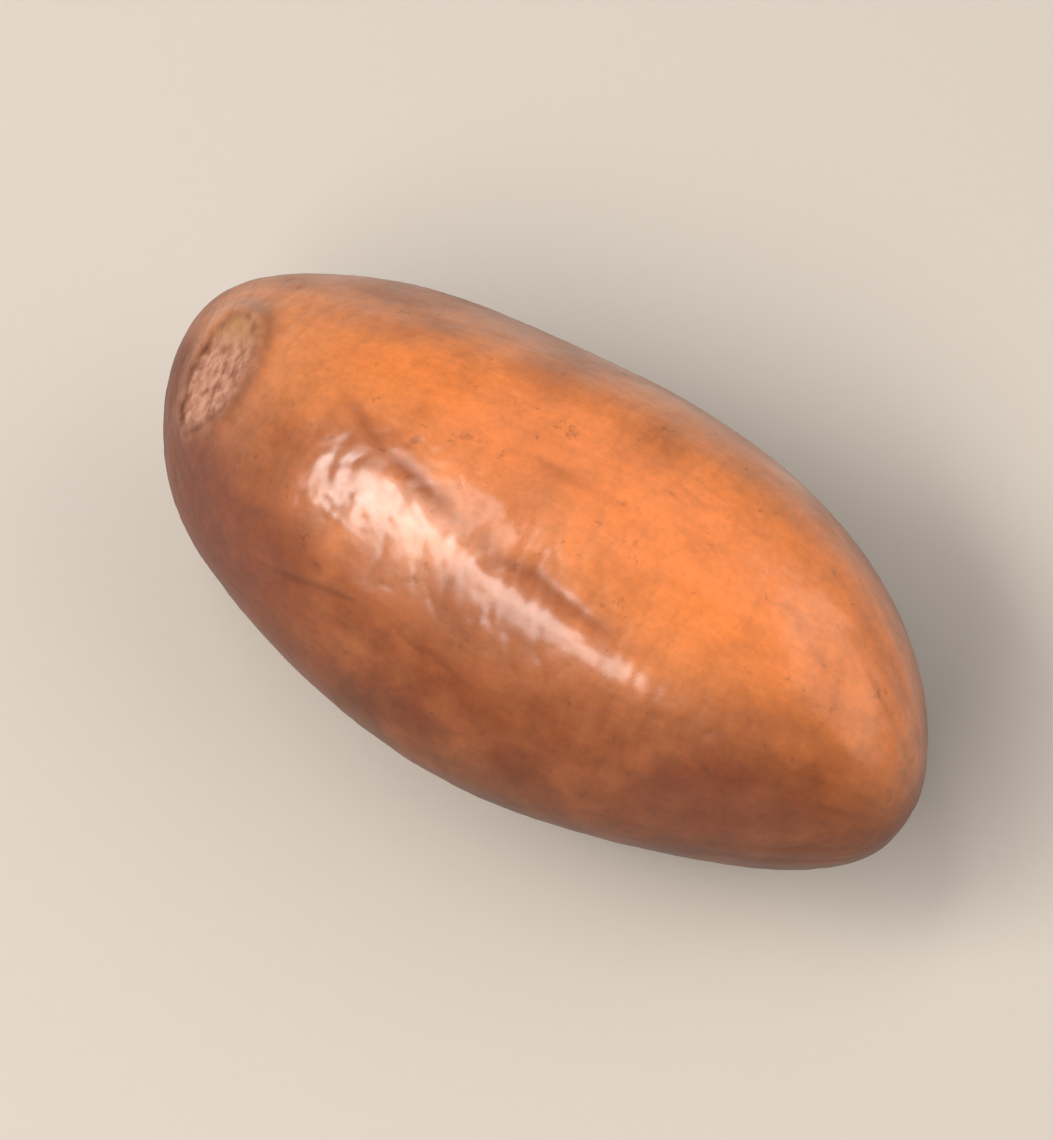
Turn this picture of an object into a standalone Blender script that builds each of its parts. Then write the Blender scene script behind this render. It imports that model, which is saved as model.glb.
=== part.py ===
"""Calabash nutmeg: one whole seed in its hard glossy coat, lying on a small flat spot.

Metres, +Z up. +X runs along the seed from the hilum, the scar where it grew from its pod, to the broad far end.
The origin is the middle of the seed's bounding box, at the height of the flat spot.
"""

import math

import bmesh
import bpy
from mathutils import Vector

# Driving dimensions: half sizes of the plain egg shape, before swells and flats are made
HALF_LENGTH = 0.0098
HALF_WIDTH = 0.00455
HALF_THICKNESS = 0.00428

# How the seed departs from an ellipsoid, as fractions
TAPER = 0.085  # the far end's extra girth, and what the hilum end lacks
LEAN = -0.118  # the far end leans to -Y and the hilum end to +Y, of the half length

# Broad swells and hollows: direction from the middle, height in metres, spread on the unit sphere
SWELLS = (
    ((-0.45, 0.88, 0.10), 0.00050, 0.40),  # shoulder beside the hilum
    ((0.10, -0.95, -0.10), 0.00050, 0.50),  # belly
    ((0.10, 0.15, 0.98), -0.00012, 0.26),  # shallow hollow beside the raphe ridge
    ((-0.35, 0.55, -0.75), -0.00014, 0.38),  # side pressed by a neighbour in the pod
    ((-0.40, -0.27, 0.875), -0.00011, 0.27),  # flatter place between the raphe ridge and the hilum
)

# Raphe: the soft ridge that runs obliquely along the upper side, from the hilum to the far end
RIDGE_HEIGHT = 0.00009
RIDGE_ANGLE = math.radians(24.0)  # at the seed's middle, from the top towards -Y
RIDGE_TWIST = math.radians(28.0)  # what the angle gains from the middle to the far end
RIDGE_SPREAD = math.radians(13.0)
RIDGE_RUN = 0.68  # half the ridge's run along the seed, of the half length
RIDGE_MIDDLE = -0.08

# Hilum: the narrow end is obliquely blunt, with an oval scar on it
HILUM_NORMAL = Vector((-0.76, -0.23, 0.61)).normalized()
HILUM_REACH = 0.00658  # the blunt face's distance from the middle
HILUM_ROUNDING = 0.0015  # over which the coat rounds into it
SCAR_DIRECTION = Vector((-0.84, -0.17, 0.52)).normalized()  # from the middle to the scar
SCAR_TURN = math.radians(-26.0)  # the oval's long axis, from level
SCAR_HALF_LENGTH = 0.00145
SCAR_HALF_WIDTH = 0.00132
SCAR_DEPTH = 0.00008
COLLAR_HEIGHT = 0.00010
COLLAR_WIDTH = 0.00032
RIM_SOFTNESS = 0.00011  # over which the floor rises to the collar

# Flat spot underneath
REST_CUT = 0.00020  # how much of the round underside is flat

# Mesh
SPHERE_SUBDIVISIONS = 5
SCAR_REFINEMENTS = (0.42, 0.30)  # the sphere is subdivided once more within each of these from the scar


def body_point(direction):
    """The point of the plain seed body for a unit direction: an ellipsoid, tapered and leaning."""
    along = direction.x
    girth = 1.0 + TAPER * along
    middle = HALF_LENGTH * LEAN * along**3
    return Vector((
        HALF_LENGTH * along,
        HALF_WIDTH * girth * direction.y + middle,
        HALF_THICKNESS * girth * direction.z,
    ))


def outward(direction):
    """The outward normal of the ellipsoid for a unit direction."""
    return Vector((
        direction.x / HALF_LENGTH,
        direction.y / HALF_WIDTH,
        direction.z / HALF_THICKNESS,
    )).normalized()


def swell_height(direction):
    """The height that the broad swells and hollows add, each one a Gaussian bump on the unit sphere."""
    total = 0.0
    for centre, height, spread in SWELLS:
        distance = (direction - Vector(centre).normalized()).length
        total += height * math.exp(-((distance / spread) ** 2))
    return total


def ridge_height(direction):
    """The height of the raphe ridge: a Gaussian across its line that fades out at both ends of its run."""
    line = RIDGE_ANGLE + RIDGE_TWIST * direction.x
    across = math.atan2(-direction.y, direction.z) - line
    girth = math.hypot(direction.y, direction.z)
    along = (direction.x - RIDGE_MIDDLE) / RIDGE_RUN
    return RIDGE_HEIGHT * girth * math.exp(-((across / RIDGE_SPREAD) ** 2) - along**4)


def kept_below(distance, rounding):
    """The distance past a plane, held to zero, with a parabola that rounds the change."""
    if distance < -rounding:
        return distance
    if distance > rounding:
        return 0.0
    return -((distance - rounding) ** 2) / (4.0 * rounding)


def coat_point(direction):
    """The point of the seed coat for a unit direction, without the scar."""
    point = body_point(direction)
    point += outward(direction) * (swell_height(direction) + ridge_height(direction))
    past_face = point.dot(HILUM_NORMAL) - HILUM_REACH
    return point + HILUM_NORMAL * (kept_below(past_face, HILUM_ROUNDING) - past_face)


def scar_frame():
    """The scar's centre on the coat, and the oval's long and short axes."""
    level = Vector((0.0, 0.0, 1.0)).cross(HILUM_NORMAL).normalized()
    rising = HILUM_NORMAL.cross(level)
    long_axis = level * math.cos(SCAR_TURN) + rising * math.sin(SCAR_TURN)
    return coat_point(SCAR_DIRECTION), long_axis, HILUM_NORMAL.cross(long_axis)


def scarred(point, scar):
    """A point of the coat with the scar's relief: a raised collar round a flat, slightly sunken floor."""
    centre, long_axis, short_axis = scar
    offset = point - centre
    radius = math.hypot(
        offset.dot(long_axis) / SCAR_HALF_LENGTH, offset.dot(short_axis) / SCAR_HALF_WIDTH
    )
    from_rim = (radius - 1.0) * SCAR_HALF_WIDTH
    if from_rim > SCAR_HALF_LENGTH or offset.length > HALF_WIDTH:
        return point
    collar = COLLAR_HEIGHT * math.exp(-((from_rim / COLLAR_WIDTH) ** 2))
    inside = 1.0 / (1.0 + math.exp(from_rim / RIM_SOFTNESS))
    return point + HILUM_NORMAL * (collar - inside * (offset.dot(HILUM_NORMAL) + SCAR_DEPTH))


def refined_sphere():
    """A unit icosphere with smaller faces around the scar."""
    sphere = bmesh.new()
    bmesh.ops.create_icosphere(sphere, subdivisions=SPHERE_SUBDIVISIONS, radius=1.0)
    for reach in SCAR_REFINEMENTS:
        near = [
            edge
            for edge in sphere.edges
            if all((vertex.co - SCAR_DIRECTION).length < reach for vertex in edge.verts)
        ]
        bmesh.ops.subdivide_edges(sphere, edges=near, cuts=1, use_grid_fill=True)
        bmesh.ops.triangulate(sphere, faces=sphere.faces)
        for vertex in sphere.verts:
            vertex.co.normalize()
    return sphere


def cut_flat_spot(seed):
    """Cuts the round underside off at a level plane, so that the seed has a true flat face to lie on."""
    lowest = min(vertex.co.z for vertex in seed.verts)
    level = Vector((0.0, 0.0, lowest + REST_CUT))
    everything = seed.verts[:] + seed.edges[:] + seed.faces[:]
    cut = bmesh.ops.bisect_plane(
        seed, geom=everything, plane_co=level, plane_no=(0.0, 0.0, 1.0), clear_inner=True
    )
    rim = [element for element in cut["geom_cut"] if isinstance(element, bmesh.types.BMEdge)]
    bmesh.ops.contextual_create(seed, geom=rim)


def centre_on_origin(seed):
    """Moves the seed so that the origin is the middle of its box, at the height of its base."""
    places = [vertex.co for vertex in seed.verts]
    low = Vector([min(place[axis] for place in places) for axis in range(3)])
    high = Vector([max(place[axis] for place in places) for axis in range(3)])
    base = (low + high) / 2.0
    base.z = low.z
    bmesh.ops.translate(seed, verts=seed.verts, vec=-base)


def seed_mesh():
    """The seed as one closed mesh, with round faces shaded smooth and the flat spot's rim sharp."""
    seed = refined_sphere()
    scar = scar_frame()
    for vertex in seed.verts:
        vertex.co = scarred(coat_point(vertex.co), scar)
    cut_flat_spot(seed)
    centre_on_origin(seed)
    bmesh.ops.recalc_face_normals(seed, faces=seed.faces)
    mesh = bpy.data.meshes.new("seed")
    seed.to_mesh(mesh)
    seed.free()
    mesh.shade_smooth()
    mesh.set_sharp_from_angle(angle=math.radians(30.0))
    return mesh


def seed_coat_material():
    """Seed coat: hard, woody and orange-brown, with a natural gloss."""
    material = bpy.data.materials.new("seed_coat")
    material.use_nodes = True
    shader = material.node_tree.nodes["Principled BSDF"]
    shader.inputs["Base Color"].default_value = (0.46, 0.16, 0.055, 1.0)
    shader.inputs["Roughness"].default_value = 0.35
    shader.inputs["Metallic"].default_value = 0.0
    return material


def main():
    """Clears the scene and builds the seed."""
    for existing in list(bpy.data.objects):
        bpy.data.objects.remove(existing)
    mesh = seed_mesh()
    mesh.materials.append(seed_coat_material())
    seed = bpy.data.objects.new("seed", mesh)
    bpy.context.scene.collection.objects.link(seed)


main()
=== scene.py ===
"""Calabash nutmeg: one whole seed in its glossy coat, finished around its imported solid.

Metres, +Z up, in the CAD model's frame. +X runs from the hilum, the scar where the seed grew from its pod,
to the broad far end, and z = 0 is the surface that the seed lies on.
"""

import logging
import math
from collections.abc import Mapping
from dataclasses import dataclass
from enum import Enum

import bpy
import numpy as np
from mathutils import Matrix, Vector
from numpy.typing import NDArray


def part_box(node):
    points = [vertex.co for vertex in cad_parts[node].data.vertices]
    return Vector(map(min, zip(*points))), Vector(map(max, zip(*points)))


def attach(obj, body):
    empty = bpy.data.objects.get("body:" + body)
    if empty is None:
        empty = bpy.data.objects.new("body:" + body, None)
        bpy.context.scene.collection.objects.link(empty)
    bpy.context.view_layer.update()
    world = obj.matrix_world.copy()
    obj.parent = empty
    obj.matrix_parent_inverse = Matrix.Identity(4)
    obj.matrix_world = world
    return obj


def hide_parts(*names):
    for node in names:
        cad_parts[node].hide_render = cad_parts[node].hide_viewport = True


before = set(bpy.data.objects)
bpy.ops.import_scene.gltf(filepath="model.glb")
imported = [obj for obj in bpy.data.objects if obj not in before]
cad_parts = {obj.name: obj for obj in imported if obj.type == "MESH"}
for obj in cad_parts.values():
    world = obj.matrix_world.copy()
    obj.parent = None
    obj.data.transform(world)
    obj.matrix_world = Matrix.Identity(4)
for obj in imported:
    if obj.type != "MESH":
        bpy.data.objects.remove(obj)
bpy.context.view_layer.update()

Floats = NDArray[np.float64]
Numbers = NDArray[np.int64]
Pair = tuple[float, float]
Triple = tuple[float, float, float]
Tree = bpy.types.NodeTree
Socket = bpy.types.NodeSocket

MM = 0.001
MICRON = 0.000001
TINY = 1e-9  # keeps a division away from 0
RANGES = ("From Min", "From Max", "To Min", "To Max")  # the inputs of a Map Range node
USUAL = (0.3, 0.7)  # the strengths that a shader's noise is usually between

log = logging.getLogger("calabash_nutmeg")


def unit(vectors: Floats) -> Floats:
    """Vectors scaled to length one along their last axis."""
    return vectors / np.linalg.norm(vectors, axis=-1, keepdims=True)


def gaussian(values: Floats) -> Floats:
    """The bell curve exp(-v squared), which is 1 at 0 and a third at 1."""
    return np.exp(-(values**2))


def smoothstep(low: float, high: float, values: Floats) -> Floats:
    """0 below low and 1 above high, with the cubic 3t^2 - 2t^3 between them."""
    share = np.clip((values - low) / (high - low), 0.0, 1.0)
    return share * share * (3.0 - 2.0 * share)


def held_up(values: Floats, rounding: float) -> Floats:
    """Values with the negative ones raised to 0, and the parabola (v + r)^2 / 4r over the rounding r."""
    parabola = (np.maximum(values, -rounding) + rounding) ** 2 / (4.0 * rounding)
    return np.where(values > rounding, values, parabola)


def around(directions: Floats) -> Floats:
    """The angle of each direction about the seed's length, from the top towards -Y."""
    return np.arctan2(-directions[:, 1], directions[:, 2])


def girth(directions: Floats) -> Floats:
    """How far each unit direction is from the seed's length axis."""
    return np.hypot(directions[:, 1], directions[:, 2])


def linear(code: str) -> tuple[float, float, float, float]:
    """Turns an sRGB colour into the linear one that a shader takes, by the curve that sRGB is defined with.

    Args:
        code: the colour as #rrggbb.

    Returns:
        Red, green, blue and an alpha of 1.
    """
    coded = np.array([int(code[place : place + 2], 16) for place in (1, 3, 5)]) / 255.0
    red, green, blue = np.where(coded <= 0.04045, coded / 12.92, ((coded + 0.055) / 1.055) ** 2.4).tolist()
    return red, green, blue, 1.0


def per_size(size: float) -> float:
    """The scale of a texture on Object coordinates whose features are this many metres across."""
    return 1.0 / size


def add_node(tree: Tree, kind: str, inputs: Mapping[str | int, object], **settings: object) -> bpy.types.Node:
    """Adds a node with its settings, and fills or links its inputs.

    Args:
        tree: the node tree that gets it.
        kind: the node's type name.
        inputs: by an input's name or number, its value or the output socket that feeds it.
        settings: the node's own properties.

    Returns:
        The node.
    """
    node = tree.nodes.new(kind)
    for name, value in settings.items():
        setattr(node, name, value)
    for place, value in inputs.items():
        if isinstance(value, Socket):
            tree.links.new(value, node.inputs[place])
        else:
            node.inputs[place].default_value = value
    return node


class Tint(Enum):
    """The coat's tints: the mesh holds each one's strength at every point, under the name given here.

    The orange tint carries painted light on the upper side and far end as well as pigment. The flank and
    mauve tints carry painted shade as well as pigment. The underside, hollow, furrow, trench and band tints
    darken with painted shade.
    """

    ORANGE = "orange"
    RUSSET = "russet"
    MAUVE = "mauve"
    FLANK = "flank"
    KEEL = "keel"
    SCAR = "scar"
    OCHRE = "ochre"
    TRENCH = "trench"
    BAND = "band"
    HOLLOW = "hollow"
    FURROW = "furrow"


@dataclass(frozen=True)
class Unevenness:
    """Smooth noise in space, from random slopes on the points of a lattice.

    Attributes:
        seed: picks the slopes, so that the same number gives the same noise.
        spacing: of the lattice, in metres.
        layers: how many layers are summed, each at twice the last one's pace.
        keep: each layer's height, as a share of the last one's.
    """

    CELLS = 256  # after which the lattice repeats
    GAIN = 1.6  # brings the usual range to about -1 to 1
    LAYER_SHIFT = 17.0  # between one layer's lattice and the next one's, so that their points don't meet

    seed: int
    spacing: float | Triple
    layers: int = 1
    keep: float = 0.5

    def at(self, points: Floats) -> Floats:
        """The layers' sum at each point.

        Each corner of the point's cell has a random slope, and gives that slope dotted with the way from the
        corner to the point. The eight are summed, each weighted along every axis by 6t^5 - 15t^4 + 10t^3.

        Args:
            points: places in metres, one in each row.

        Returns:
            One value for each row, about -1 to 1 for a single layer.
        """
        random = np.random.default_rng(self.seed)
        order = random.permutation(self.CELLS)
        slopes = unit(random.normal(size=(self.CELLS, 3)))
        total = np.zeros(len(points))
        for layer in range(self.layers):
            places = points / np.array(self.spacing) * 2.0**layer + self.LAYER_SHIFT * layer
            cells = np.floor(places).astype(int)
            inside = places - cells
            ease = inside**3 * (inside * (6.0 * inside - 15.0) + 10.0)
            for corner in np.ndindex(2, 2, 2):
                x, y, z = ((cells + corner) % self.CELLS).T
                picked = order[(order[(order[x] + y) % self.CELLS] + z) % self.CELLS]
                weight = self.GAIN * self.keep**layer * np.prod(np.where(corner, ease, 1.0 - ease), axis=1)
                total += weight * np.sum(slopes[picked] * (inside - corner), axis=1)
        return total


@dataclass(frozen=True)
class Patches:
    """A share that changes in soft-edged patches over the coat.

    Attributes:
        noise: its spacing is about a patch's size.
        edges: the values of the noise between which the share changes.
        shares: the share below and above them.
    """

    noise: Unevenness
    edges: Pair
    shares: Pair = (0.0, 1.0)

    def at(self, points: Floats) -> Floats:
        """The share at each point, with a smoothstep between the edges."""
        low, high = self.shares
        return low + (high - low) * smoothstep(*self.edges, self.noise.at(points))


@dataclass(frozen=True)
class Wrinkles:
    """One kind of wrinkle: narrow valleys along the lines where a noise is zero.

    Attributes:
        noise: its spacing is about the distance between two valleys, longer along the wrinkle.
        depth: of a valley, in metres.
        sharpness: the noise value at which a valley's side has risen to two thirds.
        tint: how strongly a valley is darkened with painted shade.
    """

    noise: Unevenness
    depth: float
    sharpness: float
    tint: float = 0.0

    def at(self, points: Floats) -> Floats:
        """How deep in a valley each point is, from 0 to 1: exp(-(noise / sharpness) squared)."""
        return gaussian(self.noise.at(points) / self.sharpness)


@dataclass(frozen=True)
class SoftSpot:
    """A soft round spot on the seed, placed on the unit sphere.

    Attributes:
        towards: the way from the seed's middle to the spot.
        amount: its height in metres, or its strength as a tint.
        spread: its reach on the unit sphere, where it has fallen to a third.
    """

    towards: Triple
    amount: float
    spread: float

    def at(self, directions: Floats) -> Floats:
        """The amount times exp(-(distance / spread) squared) at each unit direction."""
        distance = np.linalg.norm(directions - unit(np.array(self.towards)), axis=1)
        return self.amount * gaussian(distance / self.spread)


@dataclass(frozen=True)
class Crease:
    """A short crease in the coat, along the way between two directions.

    Attributes:
        start: the way from the seed's middle to one end.
        end: the way to the other end.
        depth: in metres.
        width: half its width, on the unit sphere.
        taper: what its depth and width lose at the ends, as a share.
    """

    start: Triple
    end: Triple
    depth: float
    width: float
    taper: float = 0.55

    def at(self, directions: Floats) -> Floats:
        """How deep in the crease each direction is: a Gaussian of its distance to the segment.

        Args:
            directions: unit vectors, one in each row.

        Returns:
            A share from 0 to 1 for each row.
        """
        start, end = unit(np.array([self.start, self.end]))
        run = end - start
        along = np.clip((directions - start) @ run / (run @ run), 0.0, 1.0)
        distance = np.linalg.norm(directions - start - along[:, None] * run, axis=1)
        kept = 1.0 - self.taper * np.abs(2.0 * along - 1.0)
        return gaussian(distance / (self.width * kept)) * kept


@dataclass(frozen=True)
class SeedForm:
    """The seed's smooth form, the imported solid's own: an egg that tapers, leans and has a blunt end."""

    half_length: float = 9.8 * MM
    half_width: float = 4.55 * MM
    half_thickness: float = 4.28 * MM
    taper: float = 0.085  # the far end's extra girth, as a fraction
    lean: float = -0.118  # the far end leans to -Y, of the half length
    swells: tuple[SoftSpot, ...] = (
        SoftSpot((-0.45, 0.88, 0.10), 0.50 * MM, 0.40),  # shoulder beside the hilum
        SoftSpot((0.10, -0.95, -0.10), 0.50 * MM, 0.50),  # belly
        SoftSpot((0.10, 0.15, 0.98), -0.12 * MM, 0.26),  # shallow hollow beside the raphe ridge
        SoftSpot((-0.35, 0.55, -0.75), -0.14 * MM, 0.38),  # side pressed by a neighbour in the pod
        SoftSpot((-0.40, -0.27, 0.875), -0.11 * MM, 0.27),  # flatter place towards the hilum
    )
    ridge_height: float = 0.09 * MM
    ridge_angle: float = math.radians(24.0)  # at the seed's middle, from the top towards -Y
    ridge_twist: float = math.radians(28.0)  # what the angle gains from the middle to the far end
    ridge_spread: float = math.radians(13.0)
    ridge_run: float = 0.68  # half the ridge's run and its middle, of the half length
    ridge_middle: float = -0.08
    blunt_towards: Triple = (-0.76, -0.23, 0.61)
    blunt_reach: float = 6.58 * MM  # the blunt face's distance from the middle
    blunt_rounding: float = 1.5 * MM
    rest_cut: float = 0.20 * MM  # how much of the round underside is flat
    rest_rounding: float = 0.03 * MM

    @property
    def blunt_normal(self) -> Floats:
        """The way that the blunt end faces."""
        return unit(np.array(self.blunt_towards))

    def outward(self, directions: Floats) -> Floats:
        """The outward normal of the plain ellipsoid for each unit direction."""
        return unit(directions / np.array([self.half_length, self.half_width, self.half_thickness]))

    def ridge(self, directions: Floats) -> Floats:
        """The raphe ridge: a Gaussian of the angle across its line, which fades at both ends of its run.

        Args:
            directions: unit vectors, one in each row.

        Returns:
            The ridge's height for each row, in metres.
        """
        line = self.ridge_angle + self.ridge_twist * directions[:, 0]
        across = (around(directions) - line) / self.ridge_spread
        along = (directions[:, 0] - self.ridge_middle) / self.ridge_run
        return self.ridge_height * girth(directions) * gaussian(across) * np.exp(-(along**4))

    def skin(self, directions: Floats) -> Floats:
        """The point of the smooth coat for each unit direction.

        The ellipsoid's widths are multiplied by 1 + taper x, and its middle moves sideways by lean x cubed.
        The swells and the ridge are added along the normal. The blunt end is the plane at blunt_reach, which
        the coat meets in a parabola of blunt_rounding.

        Args:
            directions: unit vectors, one in each row.

        Returns:
            The points, in metres from the ellipsoid's middle.
        """
        x, y, z = directions.T
        widening = 1.0 + self.taper * x
        sideways = self.half_width * widening * y + self.half_length * self.lean * x**3
        body = np.stack([self.half_length * x, sideways, self.half_thickness * widening * z], axis=1)
        height = self.ridge(directions) + sum(swell.at(directions) for swell in self.swells)
        body += self.outward(directions) * height[:, None]
        past = body @ self.blunt_normal - self.blunt_reach
        return body - (held_up(-past, self.blunt_rounding) + past)[:, None] * self.blunt_normal

    def laid_flat(self, points: Floats, level: float) -> Floats:
        """Presses what is below a level up to it, with a rounding where the round side meets it."""
        height = held_up(points[:, 2] - level, self.rest_rounding)
        return np.column_stack([points[:, :2], level + height])


@dataclass(frozen=True)
class Lip:
    """A low swelling that runs beside the furrow.

    Attributes:
        offset: its distance from the furrow's line, positive towards -Y, in metres.
        half_width: in metres.
        height: in metres.
    """

    offset: float
    half_width: float
    height: float


@dataclass(frozen=True)
class RapheFurrow:
    """The soft furrow along the raphe, between two low lips: it runs obliquely over the upper side."""

    radius: float = 4.4 * MM  # of the seed's section, which turns an angle into a distance
    angle: float = math.radians(22.5)  # of its line, at the seed's middle, from the top towards -Y
    twist: float = math.radians(30.0)  # what the angle gains from the middle to the far end
    bow: float = math.radians(-40.0)  # what the angle gains from the middle to both ends
    start: float = -0.40  # its run and the length over which it fades, of the half length
    end: float = 0.36
    fade: float = 0.11
    half_width: float = 0.18 * MM
    narrowest: float = 0.75  # of the half width, and what a wide place adds
    widening: float = 0.60
    depth: float = 27.0 * MICRON
    shallowest: float = 0.35  # of the depth
    wander: float = 0.16 * MM  # how far it strays from its line
    lips: tuple[Lip, ...] = (
        Lip(0.45 * MM, 0.36 * MM, 12.0 * MICRON),
        Lip(-0.70 * MM, 0.50 * MM, 38.0 * MICRON),
    )
    lip_share: float = 0.75  # of the lips' height on average, and how far it swings
    lip_swing: float = 0.50
    straying: Unevenness = Unevenness(31, 1.1 * MM, 2)
    uneven_bed: Patches = Patches(Unevenness(32, 0.8 * MM), (-0.6, 0.6))
    uneven_lips: Unevenness = Unevenness(33, 0.8 * MM)

    def across(self, directions: Floats, points: Floats) -> Floats:
        """The distance from the furrow's line, whose angle is angle + twist x + bow x squared.

        Args:
            directions: unit vectors, one in each row.
            points: the smooth coat there, in metres.

        Returns:
            The distances in metres, positive towards -Y.
        """
        x = directions[:, 0]
        line = self.angle + self.twist * x + self.bow * x**2
        strayed = self.wander * self.straying.at(points)
        return (around(directions) - line) * girth(directions) * self.radius + strayed

    def run(self, directions: Floats) -> Floats:
        """1 along the furrow's run and 0 past its ends, with a smoothstep over the fade on either side."""
        inward = np.minimum(directions[:, 0] - self.start, self.end - directions[:, 0])
        return smoothstep(-self.fade, self.fade, inward)

    def bed(self, directions: Floats, points: Floats) -> Floats:
        """How deep in the furrow each point is: a Gaussian across it, of uneven width and depth.

        Args:
            directions: unit vectors, one in each row.
            points: the smooth coat there, in metres.

        Returns:
            A share from 0 to 1 for each row.
        """
        uneven = self.uneven_bed.at(points)
        half_width = self.half_width * (self.narrowest + self.widening * uneven)
        depth = self.shallowest + (1.0 - self.shallowest) * uneven
        return gaussian(self.across(directions, points) / half_width) * self.run(directions) * depth

    def relief(self, directions: Floats, points: Floats) -> Floats:
        """The height that the furrow and its lips add, each lip a Gaussian across of uneven height.

        Args:
            directions: unit vectors, one in each row.
            points: the smooth coat there, in metres.

        Returns:
            The heights, in metres.
        """
        across = self.across(directions, points)
        raised = sum(lip.height * gaussian((across - lip.offset) / lip.half_width) for lip in self.lips)
        uneven = self.lip_share + self.lip_swing * self.uneven_lips.at(points)
        return raised * uneven * self.run(directions) - self.depth * self.bed(directions, points)


@dataclass(frozen=True)
class HilumScar:
    """The oval scar on the blunt end: a rough pale pad in a narrow trench, inside a smooth raised collar.

    Its methods take points in its own axes, in metres from its centre: along the oval, across it and outward.
    """

    towards: Triple = (-0.84, -0.17, 0.52)  # from the seed's middle
    turn: float = math.radians(-26.0)  # the oval's long axis, from level
    half_length: float = 1.45 * MM
    half_width: float = 1.32 * MM
    depth: float = 0.08 * MM
    reach: float = 3.9 * MM  # how far its relief reaches along the coat, and down from its plane
    drop: float = 3.0 * MM
    far: float = 1000.0 * MM  # a distance at which nothing of it is left
    raggedness: float = 0.075  # of the rim, as a share of the oval
    rim_softness: float = 0.09 * MM
    collar_height: float = 0.10 * MM
    collar_width: float = 0.32 * MM
    pad_rise: float = 75.0 * MICRON
    pad_fullness: float = 0.6  # the dome's power, which is 1 for a paraboloid and less for a flatter top
    pad_grain: float = 18.0 * MICRON
    pad_edge: float = 0.25  # of the dome's height, above which the cork is fully rough
    ochre_run: Pair = (0.1, 1.0)  # where the pad turns ochre towards +Y, of the half length
    trench_offset: float = 0.08 * MM  # inside the rim
    trench_half_width: float = 0.10 * MM
    trench_depth: float = 40.0 * MICRON
    trench_fade: float = 0.45  # what its depth and painted shade lose on the upper side
    # The band is painted shadow beside the collar, on its upper side
    band_offset: float = 0.12 * MM  # outside the rim
    band_half_width: float = 0.24 * MM
    band_share: float = 0.75  # of its strength on average, and how far it swings
    band_swing: float = 0.35
    band_rise: Pair = (0.15, 0.85)  # where it sets in, from the oval's foot at 0 to its top at 1
    ring_spacing: float = 0.36 * MM
    ring_start: float = 0.3 * MM
    ring_reach: float = 1.3 * MM
    ring_height: float = 3.0 * MICRON
    ragged: Unevenness = Unevenness(41, 0.9 * MM, 3, 0.6)
    grain: Unevenness = Unevenness(42, 0.36 * MM, 3, 0.62)
    fissures: Wrinkles = Wrinkles(Unevenness(43, (0.90 * MM, 0.42 * MM, 0.90 * MM)), 19.8 * MICRON, 0.16)
    uneven_trench: Patches = Patches(Unevenness(44, 0.6 * MM, 2), (-0.5, 0.5), (0.35, 1.0))
    uneven_band: Unevenness = Unevenness(45, 0.8 * MM, 2)

    def axes(self, normal: Floats) -> Floats:
        """The oval's axes, turned about the normal from level.

        Args:
            normal: the way that the blunt end faces.

        Returns:
            The long axis, the short axis and the normal, as rows.
        """
        level = unit(np.cross((0.0, 0.0, 1.0), normal))
        rising = np.cross(normal, level)
        long_axis = level * math.cos(self.turn) + rising * math.sin(self.turn)
        return np.array([long_axis, np.cross(normal, long_axis), normal])

    def from_rim(self, local: Floats) -> Floats:
        """The distance outside the rim: (r - 1) half_width, where r is 1 on the ragged oval.

        Args:
            local: points in the scar's axes.

        Returns:
            The distances in metres, and a far one on the seed's other side.
        """
        radius = np.hypot(local[:, 0] / self.half_length, local[:, 1] / self.half_width)
        distance = (radius * (1.0 + self.raggedness * self.ragged.at(local)) - 1.0) * self.half_width
        near = (local[:, 2] > -self.drop) & (np.hypot(local[:, 0], local[:, 1]) < self.reach)
        return np.where(near, distance, self.far)

    def tints(self, local: Floats) -> dict[Tint, Floats]:
        """How strong each of the scar's own tints is.

        The pad is half of 1 - tanh(distance outside the rim / 2 rim_softness), and it turns ochre towards +Y.
        The trench, whose colour is painted shade, broken and fainter on the upper side, and the band of
        painted shadow along that side are Gaussians of it.

        Args:
            local: points in the scar's axes.

        Returns:
            Each tint's strength from 0 to 1, for each row.
        """
        from_rim = self.from_rim(local)
        rising = local[:, :2] @ (math.sin(self.turn), math.cos(self.turn))
        upward = 0.5 + 0.5 * rising / np.maximum(np.hypot(local[:, 0], local[:, 1]), TINY)
        pad = 0.5 - 0.5 * np.tanh(0.5 * from_rim / self.rim_softness)
        trench = gaussian((from_rim + self.trench_offset) / self.trench_half_width)
        trench *= self.uneven_trench.at(local)
        band = gaussian((from_rim - self.band_offset) / self.band_half_width)
        band *= self.band_share + self.band_swing * self.uneven_band.at(local)
        return {
            Tint.SCAR: pad,
            Tint.OCHRE: pad * smoothstep(*self.ochre_run, -local[:, 0] / self.half_length),
            Tint.TRENCH: trench * (1.0 - self.trench_fade * upward),
            Tint.BAND: band * smoothstep(*self.band_rise, upward) * (1.0 - pad),
        }

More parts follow.
